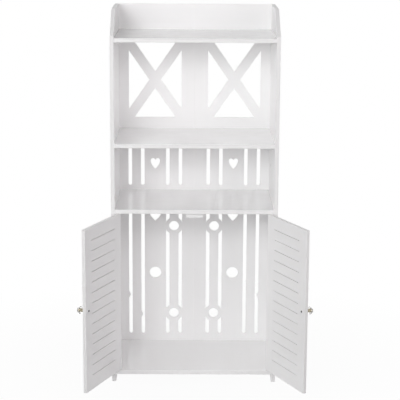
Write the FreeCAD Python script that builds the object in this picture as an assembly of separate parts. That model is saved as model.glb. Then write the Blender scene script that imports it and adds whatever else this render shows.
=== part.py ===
import FreeCAD, Part
import math
import os

# Tall bathroom cabinet: open shelves over a cupboard with two doors, and a fretted back.
# Frame: +Z up, X to the right, the front faces -Y. The origin is on the floor, in the
# middle of the cabinet's rear face, where it meets the wall. All lengths are in mm.

# Directions
X_AXIS = FreeCAD.Vector(1, 0, 0)
Y_AXIS = FreeCAD.Vector(0, 1, 0)
Z_AXIS = FreeCAD.Vector(0, 0, 1)
LEFT = -1
RIGHT = 1
SIDE_NAMES = {LEFT: "left", RIGHT: "right"}

# Carcass
overall_width = 500.0
overall_height = 1130.0
carcass_depth = 300.0
board_thickness = 12.0
back_thickness = 7.0
foot_height = 23.0
cupboard_height = 493.0
middle_bay_height = 187.0
gallery_height = 78.0
edge_chamfer = 0.8
overrun = 1.0

# Side panels
gallery_slope_depth = 108.0
gallery_slope_start = 6.0

# Back panels
back_side_margin = 1.0
seam_chamfer = 0.6

# Crossed frames in the upper bay
cross_cell_width = 166.0
cross_arm_width = 30.0
cross_bottom_rail = 34.5
cross_top_rail = 28.5

# Slots
slot_width = 11.0
slot_inner_offset = 40.0
slot_outer_offset = 80.0
upper_slot_end_margin = 14.0
lower_slot_bottom_margin = 23.5
lower_slot_top_margin = 38.0

# Nibs on the outward edges of two slots
nib_reach = 5.5
nib_height = 24.0
outer_nib_rise = 154.7
inner_nib_rise = 88.0

# Hearts
small_heart_width = 29.5
small_heart_height = 34.0
small_heart_tip_rise = 67.0
large_heart_width = 45.0
large_heart_height = 49.0
large_heart_tip_drop = 91.2
heart_waist_share = 0.42
heart_side_share = 0.385

# Round and ringed holes in the cupboard's back
round_hole_diameter = 37.2
round_hole_rise = 229.5
ring_hole_diameter = 31.0
ring_diameter = 56.8
lower_ring_rise = 93.0
upper_ring_drop = 108.0

# Doors
door_thickness = 10.0
door_gap = 1.6
hinge_gap = 2.0
meeting_gap = 2.0
door_edge_radius = 1.2
pivot_inset = 7.3
left_open_angle = 112.9  # degrees from shut
right_open_angle = 114.9  # degrees from shut

# Door slits
slit_count = 14
slit_height = 1.7
slit_side_margin = 41.0
slit_top_margin = 38.5
slit_bottom_margin = 43.0

# Door pivots
pin_diameter = 5.0
pin_length_in_door = 14.0
pin_tip_length = 0.8
bush_depth = 8.5
bush_diameter = 8.0
bush_flange_diameter = 11.0
bush_run_gap = 0.3
pin_run_clearance = 0.08
fit_clearance = 0.05

# Knobs
knob_inset = 20.0
knob_plate_diameter = 16.0
knob_plate_thickness = 2.5
knob_neck_diameter = 8.0
knob_neck_length = 6.5
knob_cup_diameter = 11.0
knob_cup_length = 2.5
knob_spigot_diameter = 7.8
knob_spigot_length = 9.0
knob_seat_diameter = 12.5
knob_girdle_diameter = 22.5
knob_girdle_height = 5.5
knob_girdle_thickness = 2.0
knob_table_diameter = 13.0
knob_cap_length = 13.5
knob_facet_count = 12
knob_screw_diameter = 4.0
knob_screw_reach = 7.0
knob_screw_head_diameter = 7.0
knob_screw_head_height = 1.6
screw_slot_width = 1.0
screw_slot_depth = 1.0

# Magnetic catch
catch_width = 51.5
catch_depth = 14.0
catch_bar_height = 7.0
catch_neck_height = 7.0
catch_neck_setback = 3.0
catch_corner = 3.0
catch_door_gap = 0.3
magnet_width = 12.0
magnet_depth = 9.0
magnet_height = 5.0
magnet_offset = 15.5
magnet_front_wall = 0.8
catch_screw_offset = 4.5
catch_screw_reach = 8.0
strike_diameter = 10.0
strike_thickness = 1.5

# Screws through the side panels, and their caps
shelf_screw_diameter = 4.2
shelf_screw_length = 45.0
shelf_screw_head_diameter = 8.0
shelf_screw_head_height = 3.0
shelf_screw_front_margin = 50.0
shelf_screw_back_margin = 50.0
shelf_screw_socket_diameter = 3.2
shelf_screw_socket_depth = 2.4
cap_diameter = 12.0
cap_thickness = 1.0
cap_peg_length = 2.2

# Small countersunk screws
small_screw_diameter = 3.0
small_screw_head_diameter = 6.0
small_screw_head_height = 1.8
back_screw_length = 20.0
back_screw_end_margin = 60.0
back_screw_seam_margin = 20.0
side_screw_rise_shares = (0.09, 0.32, 0.56, 0.78, 0.96)

# Levels and planes worked out from the sizes above
half_width = overall_width / 2
inner_half_width = half_width - board_thickness
rear_y = -back_thickness
front_y = rear_y - carcass_depth
bottom_board_z = foot_height
cupboard_floor_z = bottom_board_z + board_thickness
cupboard_top_z = cupboard_floor_z + cupboard_height
middle_bay_z = cupboard_top_z + board_thickness
middle_shelf_z = middle_bay_z + middle_bay_height
upper_bay_z = middle_shelf_z + board_thickness
top_shelf_z = overall_height - gallery_height - board_thickness
gallery_z = top_shelf_z + board_thickness
BOARD_LEVELS = {
    "bottom_board": bottom_board_z,
    "cupboard_top": cupboard_top_z,
    "middle_shelf": middle_shelf_z,
    "top_shelf": top_shelf_z,
}

half_back_width = half_width - back_side_margin
half_back_centre = half_back_width / 2

door_front_y = front_y
door_inner_y = door_front_y + door_thickness
door_bottom_z = cupboard_floor_z + door_gap
door_top_z = cupboard_top_z - door_gap
door_height = door_top_z - door_bottom_z
door_hinge_x = inner_half_width - hinge_gap
door_free_x = meeting_gap / 2
pivot_x = door_hinge_x - pivot_inset
pivot_y = door_front_y + door_thickness / 2
OPEN_ANGLES = {LEFT: left_open_angle, RIGHT: right_open_angle}

knob_x = door_free_x + knob_inset
knob_z = door_bottom_z + door_height / 2
knob_seat_y = door_front_y - knob_plate_thickness - knob_neck_length - knob_cup_length
catch_front_y = door_inner_y + catch_door_gap
catch_bar_z = cupboard_top_z - catch_neck_height - catch_bar_height
magnet_z = catch_bar_z + catch_bar_height / 2


def vector(x, y, z):
    """Point or direction with these three parts."""
    return FreeCAD.Vector(x, y, z)


def block(x_range, y_range, z_range):
    """Box between the lowest and highest value of each range, in any order."""
    low = vector(min(x_range), min(y_range), min(z_range))
    high = vector(max(x_range), max(y_range), max(z_range))
    size = high.sub(low)
    return Part.makeBox(size.x, size.y, size.z, low)


def rod(diameter, length, start, direction):
    """Round bar that runs from start along direction."""
    return Part.makeCylinder(diameter / 2, length, start, direction)


def taper(start_diameter, end_diameter, length, start, direction):
    """Round bar whose diameter changes evenly along its length."""
    return Part.makeCone(start_diameter / 2, end_diameter / 2, length, start, direction)


def prism(points, direction):
    """Solid that carries the closed outline through points along direction."""
    outline = Part.makePolygon(points + [points[0]])
    return Part.Face(outline).extrude(direction)


def fused(shapes):
    """One solid out of solids that touch or overlap."""
    whole = shapes[0]
    for shape in shapes[1:]:
        whole = whole.fuse(shape)
    return whole.removeSplitter()


def cut_all(shape, tools):
    """The shape with every tool taken out of it."""
    return shape.cut(Part.makeCompound(tools)) if tools else shape


def stadium(width, x, z_low, z_high, y_low, y_high):
    """Upright slot with round ends, as the solid that a cutter takes out."""
    radius = width / 2
    low = vector(x, y_low, z_low + radius)
    high = vector(x, y_low, z_high - radius)
    across = X_AXIS * radius
    edges = [
        Part.LineSegment(low.add(across), high.add(across)).toShape(),
        Part.Arc(high.add(across), high.add(Z_AXIS * radius), high.sub(across)).toShape(),
        Part.LineSegment(high.sub(across), low.sub(across)).toShape(),
        Part.Arc(low.sub(across), low.sub(Z_AXIS * radius), low.add(across)).toShape(),
    ]
    return Part.Face(Part.Wire(edges)).extrude(Y_AXIS * (y_high - y_low))


def shelf_screw_places():
    """Depth places of the screws that go into a board's end."""
    return (front_y + shelf_screw_front_margin, rear_y - shelf_screw_back_margin)


def back_screw_places(side):
    """X and Z of the screws that hold one back panel."""
    places = []
    for level in BOARD_LEVELS.values():
        middle = level + board_thickness / 2
        places.append((side * back_screw_seam_margin, middle))
        places.append((side * (inner_half_width - back_screw_end_margin), middle))
    for share in side_screw_rise_shares:
        places.append((side * (half_width - board_thickness / 2), share * overall_height))
    return places


def shelf_screw(side, y, z):
    """Screw from the outer face of a side panel into a board's end."""
    inward = X_AXIS * -side
    start = vector(side * (half_width - fit_clearance), y, z)
    head = rod(shelf_screw_head_diameter, shelf_screw_head_height, start, inward)
    shank = rod(shelf_screw_diameter, shelf_screw_length, start, inward)
    socket = rod(shelf_screw_socket_diameter, shelf_screw_socket_depth, start, inward)
    return fused([head, shank]).cut(socket)


def shelf_screw_hole(side, y, z):
    """Clearance hole for one of those screws."""
    inward = X_AXIS * -side
    start = vector(side * (half_width + overrun), y, z)
    head_length = shelf_screw_head_height + overrun + fit_clearance
    hole_length = shelf_screw_length + overrun + 2 * fit_clearance
    head = rod(shelf_screw_head_diameter + 2 * fit_clearance, head_length, start, inward)
    shank = rod(shelf_screw_diameter + 2 * fit_clearance, hole_length, start, inward)
    return fused([head, shank])


def small_screw(start, direction, length):
    """Countersunk screw with a slot in its head, driven from start along direction."""
    head = taper(small_screw_head_diameter, small_screw_diameter, small_screw_head_height,
                 start, direction)
    shank = rod(small_screw_diameter, length, start, direction)
    across = small_screw_head_diameter / 2
    corner = vector(-across, -screw_slot_width / 2, 0)
    slot = Part.makeBox(2 * across, screw_slot_width, screw_slot_depth, corner)
    slot.Placement = FreeCAD.Placement(start, FreeCAD.Rotation(Z_AXIS, direction))
    return fused([head, shank]).cut(slot)


def small_screw_hole(start, direction, length):
    """Countersunk hole for one of those screws, open a little way before start."""
    gap = 2 * fit_clearance
    head = taper(small_screw_head_diameter + gap, small_screw_diameter + gap,
                 small_screw_head_height, start, direction)
    mouth = rod(small_screw_head_diameter + gap, overrun, start.sub(direction * overrun),
                direction)
    shank = rod(small_screw_diameter + gap, length + fit_clearance, start, direction)
    return fused([head, mouth, shank])


def back_screw_cuts(side):
    """Holes for the back panel's screws, in every piece they pass through."""
    return [small_screw_hole(vector(x, 0, z), Y_AXIS * -1, back_screw_length)
            for x, z in back_screw_places(side)]


def catch_screw_starts():
    """Points under the catch where its screws go in."""
    y = catch_front_y + catch_depth / 2
    return [vector(side * catch_screw_offset, y, catch_bar_z) for side in (LEFT, RIGHT)]


def catch_screw_length():
    """The catch's screws reach through its housing into the board above."""
    return catch_bar_height + catch_neck_height + catch_screw_reach


def side_panel(side):
    """Full-height side panel with its front edge sloped back beside the gallery."""
    x = side * inner_half_width
    slope_z = gallery_z + gallery_slope_start
    outline = [
        vector(x, front_y, 0),
        vector(x, rear_y, 0),
        vector(x, rear_y, overall_height),
        vector(x, front_y + gallery_slope_depth, overall_height),
        vector(x, front_y, slope_z),
    ]
    panel = prism(outline, X_AXIS * (side * board_thickness))
    panel = chamfered(panel, lambda edge: is_long_outline_edge(edge, slope_z))
    holes = [shelf_screw_hole(side, y, level + board_thickness / 2)
             for level in BOARD_LEVELS.values() for y in shelf_screw_places()]
    return cut_all(panel, holes + back_screw_cuts(side))


def is_long_outline_edge(edge, slope_z):
    """True for an edge along the front, the slope or the top of a side panel."""
    box = edge.BoundBox
    along_depth = box.XLength < edge_chamfer
    on_front = box.YMax < front_y + edge_chamfer
    above = box.ZMin > slope_z - edge_chamfer
    return along_depth and (on_front or above) and edge.Length > board_thickness


def chamfered(shape, wanted):
    """The shape with a small chamfer on the edges that wanted picks."""
    edges = [edge for edge in shape.Edges if wanted(edge)]
    return shape.makeChamfer(edge_chamfer, edges)


def board(level):
    """Board between the side panels, with its two front edges eased."""
    low = level
    high = level + board_thickness
    outline = [
        vector(-inner_half_width, front_y + edge_chamfer, low),
        vector(-inner_half_width, rear_y, low),
        vector(-inner_half_width, rear_y, high),
        vector(-inner_half_width, front_y + edge_chamfer, high),
        vector(-inner_half_width, front_y, high - edge_chamfer),
        vector(-inner_half_width, front_y, low + edge_chamfer),
    ]
    shape = prism(outline, X_AXIS * (2 * inner_half_width))
    middle = level + board_thickness / 2
    cuts = [shelf_screw_hole(side, y, middle)
            for side in (LEFT, RIGHT) for y in shelf_screw_places()]
    for side in (LEFT, RIGHT):
        cuts += back_screw_cuts(side)
    return cut_all(shape, cuts)


def bush_hole(side, up):
    """Blind hole for a pivot bush, above the door when up is 1 and below it when -1."""
    face_z = cupboard_top_z if up > 0 else cupboard_floor_z
    start = vector(side * pivot_x, pivot_y, face_z - up * overrun)
    length = bush_depth + overrun + fit_clearance
    return rod(bush_diameter + 2 * fit_clearance, length, start, Z_AXIS * up)


def bottom_board():
    """Bottom board, with the holes of the lower pivot bushes."""
    return cut_all(board(bottom_board_z), [bush_hole(side, -1) for side in (LEFT, RIGHT)])


def cupboard_top():
    """Board over the cupboard, with the upper bushes' and the catch screws' holes."""
    cuts = [bush_hole(side, 1) for side in (LEFT, RIGHT)]
    cuts += [small_screw_hole(start, Z_AXIS, catch_screw_length())
             for start in catch_screw_starts()]
    return cut_all(board(cupboard_top_z), cuts)


def heart(x, tip_z, width, height):
    """Heart with two round lobes, as the solid that a cutter takes out of the back."""
    lobe = width / 4
    lobe_z = tip_z + height - lobe
    y = rear_y - overrun
    tip = vector(x, y, tip_z)
    notch = vector(x, y, lobe_z)
    waist_z = tip_z + heart_waist_share * height
    waist = heart_side_share * width
    left_end = vector(x - 2 * lobe, y, lobe_z)
    right_end = vector(x + 2 * lobe, y, lobe_z)
    edges = [
        Part.Arc(tip, vector(x - waist, y, waist_z), left_end).toShape(),
        Part.Arc(left_end, vector(x - lobe, y, lobe_z + lobe), notch).toShape(),
        Part.Arc(notch, vector(x + lobe, y, lobe_z + lobe), right_end).toShape(),
        Part.Arc(right_end, vector(x + waist, y, waist_z), tip).toShape(),
    ]
    return Part.Face(Part.Wire(edges)).extrude(Y_AXIS * (back_thickness + 2 * overrun))


def back_disc(diameter, x, z):
    """Round cutter through the back panel."""
    start = vector(x, rear_y - overrun, z)
    return rod(diameter, back_thickness + 2 * overrun, start, Y_AXIS)


def cross_cell(x):
    """The four triangles of a crossed frame, as the solid that a cutter takes out."""
    low = upper_bay_z + cross_bottom_rail
    high = top_shelf_z - cross_top_rail
    half = cross_cell_width / 2
    y_range = (rear_y - overrun, overrun)
    cell = block((x - half, x + half), y_range, (low, high))
    centre = vector(x, y_range[0], (low + high) / 2)
    reach = math.hypot(cross_cell_width, high - low) / 2 + cross_arm_width
    arms = []
    for lean in (LEFT, RIGHT):
        along = vector(lean * cross_cell_width, 0, high - low).normalize()
        across = vector(along.z, 0, -along.x) * (cross_arm_width / 2)
        start = centre.sub(along * reach)
        end = centre.add(along * reach)
        corners = [start.sub(across), start.add(across), end.add(across), end.sub(across)]
        arms.append(prism(corners, Y_AXIS * (back_thickness + 2 * overrun)))
    return cell.cut(Part.makeCompound(arms))


def nib(side, offset, rise):
    """Small pointed nib that stands from a slot's outward edge into the slot."""
    x = side * (half_back_centre + offset + slot_width / 2)
    y = rear_y - overrun
    z = cupboard_floor_z + rise
    corners = [
        vector(x + side * overrun, y, z - nib_height / 2),
        vector(x, y, z - nib_height / 2),
        vector(x - side * nib_reach, y, z),
        vector(x, y, z + nib_height / 2),
        vector(x + side * overrun, y, z + nib_height / 2),
    ]
    return prism(corners, Y_AXIS * (back_thickness + 2 * overrun))


def lower_slots(side):
    """The cupboard's slots, left whole where the rings and nibs stand in them."""
    y_range = (rear_y - overrun, overrun)
    z_range = (cupboard_floor_z + lower_slot_bottom_margin,
               cupboard_top_z - lower_slot_top_margin)
    kept = [back_disc(ring_diameter, x, z) for x, z in ring_places(side)]
    kept.append(nib(side, slot_outer_offset, outer_nib_rise))
    if side == LEFT:
        kept.append(nib(side, slot_inner_offset, inner_nib_rise))
    slots = [stadium(slot_width, x, *z_range, *y_range) for x in slot_places(side)]
    return [slot.cut(Part.makeCompound(kept)) for slot in slots]


def slot_places(side):
    """X of the four slots in one back panel."""
    offsets = (-slot_outer_offset, -slot_inner_offset, slot_inner_offset, slot_outer_offset)
    return [side * (half_back_centre + offset) for offset in offsets]


def ring_places(side):
    """X and Z of the ringed holes in one back panel."""
    x = side * (half_back_centre - (slot_inner_offset + slot_outer_offset) / 2)
    return [(x, cupboard_floor_z + lower_ring_rise), (x, cupboard_top_z - upper_ring_drop)]


def back_cuts(side):
    """Every cut through one back panel's fretwork."""
    y_range = (rear_y - overrun, overrun)
    z_range = (middle_bay_z + upper_slot_end_margin, middle_shelf_z - upper_slot_end_margin)
    centre = side * half_back_centre
    cuts = [cross_cell(centre)] + lower_slots(side)
    cuts += [stadium(slot_width, x, *z_range, *y_range) for x in slot_places(side)]
    cuts += [back_disc(ring_hole_diameter, x, z) for x, z in ring_places(side)]
    cuts.append(back_disc(round_hole_diameter, centre, cupboard_floor_z + round_hole_rise))
    cuts.append(heart(centre, middle_bay_z + small_heart_tip_rise,
                      small_heart_width, small_heart_height))
    cuts.append(heart(centre, cupboard_top_z - large_heart_tip_drop,
                      large_heart_width, large_heart_height))
    return cuts


def back_panel(side):
    """Half of the back: a thin full-height panel with fretwork cut through it."""
    outer = side * half_back_width
    lip = side * seam_chamfer
    outline = [
        vector(outer, rear_y, 0),
        vector(outer, 0, 0),
        vector(0, 0, 0),
        vector(0, rear_y + seam_chamfer, 0),
        vector(lip, rear_y, 0),
    ]
    panel = prism(outline, Z_AXIS * overall_height)
    return cut_all(panel, back_cuts(side) + back_screw_cuts(side))


def opened(shape, side):
    """A door's piece, modelled with the door shut, swung open about the door's pivot."""
    swung = shape.copy()
    swung.rotate(vector(side * pivot_x, pivot_y, 0), Z_AXIS, side * OPEN_ANGLES[side])
    return swung


def rounded_slab(x_range, y_range, z_range, radius):
    """Upright slab whose four vertical edges are rounded."""
    slab = block(x_range, y_range, z_range)
    upright = [edge for edge in slab.Edges if edge.BoundBox.ZLength > radius]
    return slab.makeFillet(radius, upright)


def door_slit(side, z):
    """Level slit with round ends through a door, as the solid that a cutter takes out."""
    radius = slit_height / 2
    y = door_front_y - overrun
    depth = door_thickness + 2 * overrun
    near = side * (door_free_x + slit_side_margin + radius)
    far = side * (door_hinge_x - slit_side_margin - radius)
    middle = block((near, far), (y, y + depth), (z - radius, z + radius))
    ends = [rod(slit_height, depth, vector(x, y, z), Y_AXIS) for x in (near, far)]
    return fused([middle] + ends)


def door(side):
    """Door panel with its slits and the holes for pins, knob screw and strike."""
    panel = rounded_slab((side * door_free_x, side * door_hinge_x),
                         (door_front_y, door_inner_y),
                         (door_bottom_z, door_top_z), door_edge_radius)
    lowest = door_bottom_z + slit_bottom_margin
    highest = door_top_z - slit_top_margin
    pitch = (highest - lowest) / (slit_count - 1)
    cuts = [door_slit(side, lowest + row * pitch) for row in range(slit_count)]
    pin_hole = pin_diameter + 2 * fit_clearance
    depth = pin_length_in_door + fit_clearance
    for face_z, inward in ((door_bottom_z, 1), (door_top_z, -1)):
        start = vector(side * pivot_x, pivot_y, face_z - inward * overrun)
        cuts.append(rod(pin_hole, depth + overrun, start, Z_AXIS * inward))
    start = vector(side * knob_x, door_front_y - overrun, knob_z)
    cuts.append(rod(knob_screw_diameter + 2 * fit_clearance, door_thickness + 2 * overrun,
                    start, Y_AXIS))
    start = vector(side * magnet_offset, door_inner_y - strike_thickness, magnet_z)
    cuts.append(rod(strike_diameter + 2 * fit_clearance, strike_thickness + overrun,
                    start, Y_AXIS))
    return opened(cut_all(panel, cuts), side)


def door_pin(side, up):
    """Steel pin from the door's end into a bush, at the top when up is 1."""
    face_z = door_top_z if up > 0 else door_bottom_z
    start = vector(side * pivot_x, pivot_y, face_z - up * pin_length_in_door)
    length = pin_length_in_door + door_gap + bush_depth - pin_tip_length
    tip = taper(pin_diameter, pin_diameter - 2 * pin_tip_length, pin_tip_length,
                start.add(Z_AXIS * (up * length)), Z_AXIS * up)
    return opened(fused([rod(pin_diameter, length, start, Z_AXIS * up), tip]), side)


def pivot_bush(side, up):
    """Plastic bush set in a board, with a flange that the door runs on."""
    face_z = cupboard_top_z if up > 0 else cupboard_floor_z
    start = vector(side * pivot_x, pivot_y, face_z)
    flange_thickness = door_gap - bush_run_gap
    sleeve = rod(bush_diameter, bush_depth, start, Z_AXIS * up)
    flange = rod(bush_flange_diameter, flange_thickness, start, Z_AXIS * -up)
    bore_start = start.sub(Z_AXIS * (up * (flange_thickness + overrun)))
    bore_length = flange_thickness + bush_depth + 2 * overrun
    bore = rod(pin_diameter + 2 * pin_run_clearance, bore_length, bore_start, Z_AXIS * up)
    return fused([sleeve, flange]).cut(bore)


def knob_base(side):
    """Turned brass base: a plate on the door, a neck, a cup and a spigot for the cap."""
    start = vector(side * knob_x, door_front_y, knob_z)
    outward = Y_AXIS * -1
    neck_start = start.add(outward * knob_plate_thickness)
    cup_start = neck_start.add(outward * knob_neck_length)
    spigot_start = cup_start.add(outward * knob_cup_length)
    plate = taper(knob_plate_diameter, knob_neck_diameter, knob_plate_thickness,
                  start, outward)
    neck = rod(knob_neck_diameter, knob_neck_length, neck_start, outward)
    cup = taper(knob_neck_diameter, knob_cup_diameter, knob_cup_length, cup_start, outward)
    spigot = rod(knob_spigot_diameter, knob_spigot_length, spigot_start, outward)
    bore = rod(knob_screw_diameter + 2 * fit_clearance, knob_screw_reach + fit_clearance,
               start, outward)
    return opened(fused([plate, neck, cup, spigot]).cut(bore), side)


def polygon_points(diameter, y, side):
    """Corners of a level-sided polygon about the knob's axis, at depth y."""
    points = []
    for step in range(knob_facet_count):
        angle = 2 * math.pi * step / knob_facet_count
        points.append(vector(side * knob_x + diameter / 2 * math.cos(angle), y,
                             knob_z + diameter / 2 * math.sin(angle)))
    return points


def knob_cap(side):
    """Clear cut cap: facets flare from the cup to the girdle and fall in to a flat table."""
    rings = [
        (knob_seat_diameter, knob_seat_y),
        (knob_girdle_diameter, knob_seat_y - knob_girdle_height),
        (knob_girdle_diameter, knob_seat_y - knob_girdle_height - knob_girdle_thickness),
        (knob_table_diameter, knob_seat_y - knob_cap_length),
    ]
    outlines = []
    for diameter, y in rings:
        points = polygon_points(diameter, y, side)
        outlines.append(Part.makePolygon(points + [points[0]]))
    socket = rod(knob_spigot_diameter + 2 * fit_clearance,
                 knob_spigot_length + overrun + fit_clearance,
                 vector(side * knob_x, knob_seat_y + overrun, knob_z), Y_AXIS * -1)
    return opened(Part.makeLoft(outlines, True, True).cut(socket), side)


def knob_screw(side):
    """Screw from the door's inner face into the knob's base."""
    start = vector(side * knob_x, door_inner_y, knob_z)
    head = rod(knob_screw_head_diameter, knob_screw_head_height, start, Y_AXIS)
    shank = rod(knob_screw_diameter, door_thickness + knob_screw_reach, start, Y_AXIS * -1)
    across = knob_screw_head_diameter / 2
    groove_y = door_inner_y + knob_screw_head_height
    groove_x = (start.x - across, start.x + across)
    groove = block(groove_x, (groove_y - screw_slot_depth, groove_y + overrun),
                   (knob_z - screw_slot_width / 2, knob_z + screw_slot_width / 2))
    return opened(fused([head, shank]).cut(groove), side)


def catch_strike(side):
    """Steel disc let into the door's inner face, opposite one magnet."""
    start = vector(side * magnet_offset, door_inner_y - strike_thickness, magnet_z)
    return opened(rod(strike_diameter, strike_thickness, start, Y_AXIS), side)


def magnet_block(side, gap):
    """Space of one magnet, with a gap added all round."""
    x = side * magnet_offset
    half = magnet_width / 2 + gap
    y = catch_front_y + magnet_front_wall
    return block((x - half, x + half), (y - gap, y + magnet_depth + gap),
                 (magnet_z - magnet_height / 2 - gap, magnet_z + magnet_height / 2 + gap))


def catch_housing():
    """Housing of the catch: a bar with cut lower corners under a neck that is set back."""
    half = catch_width / 2
    y = catch_front_y
    top_of_bar = catch_bar_z + catch_bar_height
    outline = [
        vector(-half, y, top_of_bar),
        vector(-half, y, catch_bar_z + catch_corner),
        vector(-half + catch_corner, y, catch_bar_z),
        vector(half - catch_corner, y, catch_bar_z),
        vector(half, y, catch_bar_z + catch_corner),
        vector(half, y, top_of_bar),
    ]
    bar = prism(outline, Y_AXIS * catch_depth)
    neck = block((-half, half), (y + catch_neck_setback, y + catch_depth),
                 (top_of_bar, cupboard_top_z))
    cuts = [small_screw_hole(start, Z_AXIS, catch_screw_length())
            for start in catch_screw_starts()]
    for side in (LEFT, RIGHT):
        pocket = magnet_block(side, fit_clearance)
        box = pocket.BoundBox
        slot = block((box.XMin, box.XMax), (box.YMin, y + catch_depth + overrun),
                     (box.ZMin, box.ZMax))
        cuts.append(slot)
    return cut_all(fused([bar, neck]), cuts)


def catch_magnets():
    """The catch's two magnets."""
    return Part.makeCompound([magnet_block(side, 0) for side in (LEFT, RIGHT)])


def catch_screws():
    """The two screws that hold the catch under the cupboard's top."""
    return Part.makeCompound([small_screw(start, Z_AXIS, catch_screw_length())
                              for start in catch_screw_starts()])


def shelf_screws(side):
    """The screws through one side panel."""
    return Part.makeCompound([shelf_screw(side, y, level + board_thickness / 2)
                              for level in BOARD_LEVELS.values()
                              for y in shelf_screw_places()])


def screw_caps(side):
    """Caps over the screw heads of one side panel, each with a peg in the screw's socket."""
    caps = []
    for level in BOARD_LEVELS.values():
        for y in shelf_screw_places():
            centre = vector(side * half_width, y, level + board_thickness / 2)
            disc = rod(cap_diameter, cap_thickness, centre, X_AXIS * side)
            peg = rod(shelf_screw_socket_diameter - 2 * fit_clearance, cap_peg_length,
                      centre, X_AXIS * -side)
            caps.append(fused([disc, peg]))
    return Part.makeCompound(caps)


def back_screws(side):
    """The screws through one back panel, flush with its rear face."""
    return Part.makeCompound([small_screw(vector(x, 0, z), Y_AXIS * -1, back_screw_length)
                              for x, z in back_screw_places(side)])


def all_parts():
    """Every node of the cabinet, by name."""
    parts = {
        "bottom_board": bottom_board(),
        "cupboard_top": cupboard_top(),
        "middle_shelf": board(middle_shelf_z),
        "top_shelf": board(top_shelf_z),
        "catch_housing": catch_housing(),
        "catch_magnets": catch_magnets(),
        "catch_screws": catch_screws(),
    }
    for side, name in SIDE_NAMES.items():
        parts[name + "_side_panel"] = side_panel(side)
        parts[name + "_back_panel"] = back_panel(side)
        parts[name + "_back_screws"] = back_screws(side)
        parts[name + "_shelf_screws"] = shelf_screws(side)
        parts[name + "_screw_caps"] = screw_caps(side)
        parts[name + "_lower_bush"] = pivot_bush(side, -1)
        parts[name + "_upper_bush"] = pivot_bush(side, 1)
        parts[name + "_door"] = door(side)
        parts[name + "_lower_pin"] = door_pin(side, -1)
        parts[name + "_upper_pin"] = door_pin(side, 1)
        parts[name + "_knob_base"] = knob_base(side)
        parts[name + "_knob_cap"] = knob_cap(side)
        parts[name + "_knob_screw"] = knob_screw(side)
        parts[name + "_strike"] = catch_strike(side)
    return parts


def main():
    """Write every node to its own STEP file and print its volume."""
    os.makedirs("parts", exist_ok=True)
    for name, shape in all_parts().items():
        shape.exportStep("parts/" + name + ".step")
        box = shape.BoundBox
        print(f"{name}: {len(shape.Solids)} solids, {shape.Volume:.0f} mm3, "
              f"valid {shape.isValid()}, x {box.XMin:.1f} {box.XMax:.1f}, "
              f"y {box.YMin:.1f} {box.YMax:.1f}, z {box.ZMin:.1f} {box.ZMax:.1f}")


main()
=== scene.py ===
"""Looks of a tall bathroom cabinet with open shelves, a fretted back and two slitted doors.

Everything is in metres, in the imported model's frame: +Z up, +X to the right seen from the
front, which faces -Y. The origin is on the floor where the cabinet's rear meets the wall.
"""

import logging
import math
from dataclasses import dataclass, field
from enum import Enum
from typing import Any, Callable

import bmesh
import bpy
from mathutils import Matrix, Vector

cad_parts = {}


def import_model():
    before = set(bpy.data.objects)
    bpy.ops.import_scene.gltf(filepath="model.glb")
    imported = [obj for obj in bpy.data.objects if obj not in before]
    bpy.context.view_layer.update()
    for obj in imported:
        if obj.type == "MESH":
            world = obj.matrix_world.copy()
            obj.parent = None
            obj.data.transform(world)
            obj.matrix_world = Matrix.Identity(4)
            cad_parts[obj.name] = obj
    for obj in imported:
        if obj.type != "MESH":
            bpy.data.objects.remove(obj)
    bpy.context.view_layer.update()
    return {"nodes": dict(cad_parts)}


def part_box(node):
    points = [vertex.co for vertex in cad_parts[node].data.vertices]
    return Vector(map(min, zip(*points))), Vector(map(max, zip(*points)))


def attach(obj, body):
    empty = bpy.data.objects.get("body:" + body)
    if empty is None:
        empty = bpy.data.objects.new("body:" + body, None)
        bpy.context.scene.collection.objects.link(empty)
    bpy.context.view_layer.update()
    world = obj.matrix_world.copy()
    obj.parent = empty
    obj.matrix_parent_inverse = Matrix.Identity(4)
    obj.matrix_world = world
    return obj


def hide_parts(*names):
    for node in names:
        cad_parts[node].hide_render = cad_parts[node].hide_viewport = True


LOG = logging.getLogger("cabinet")
CARCASS = "carcass"
MM = 0.001
SAME_PLACE = 0.02 * MM
Colour = tuple[float, float, float]
Place = tuple[float, float, float]
WHITE: Colour = (1.0, 1.0, 1.0)


class Side(Enum):
    """The cabinet's two sides, with the sign of their X."""

    LEFT = -1
    RIGHT = 1

    @property
    def word(self) -> str:
        """The side's name, as the nodes' names start."""
        return self.name.lower()

    @property
    def body(self) -> str:
        """The body of the door on this side."""
        return f"{self.word}_door"


class Value:
    """A shader socket whose sums, differences, products and absolute value are Math nodes."""

    def __init__(self, tree: "ShaderTree", socket: bpy.types.NodeSocket) -> None:
        """Wraps a socket of a tree."""
        self.tree = tree
        self.socket = socket

    def _math(self, operation: str, first: Any, second: Any) -> "Value":
        """Adds one Math node.

        Args:
            operation: The node's operation.
            first: Its first input, a number or a Value.
            second: Its second input, a number or a Value.

        Returns:
            The node's result.
        """
        made = self.tree.node("ShaderNodeMath", {"operation": operation}, {0: first, 1: second})
        return Value(self.tree, made.outputs[0])

    def __add__(self, other: Any) -> "Value":
        """Sum."""
        return self._math("ADD", self, other)

    def __radd__(self, other: Any) -> "Value":
        """Sum with a number on the left."""
        return self._math("ADD", other, self)

    def __sub__(self, other: Any) -> "Value":
        """Difference."""
        return self._math("SUBTRACT", self, other)

    def __rsub__(self, other: Any) -> "Value":
        """Difference from a number on the left."""
        return self._math("SUBTRACT", other, self)

    def __mul__(self, other: Any) -> "Value":
        """Product."""
        return self._math("MULTIPLY", self, other)

    def __rmul__(self, other: Any) -> "Value":
        """Product with a number on the left."""
        return self._math("MULTIPLY", other, self)

    def __abs__(self) -> "Value":
        """Absolute value."""
        return self._math("ABSOLUTE", self, 0.0)


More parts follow.
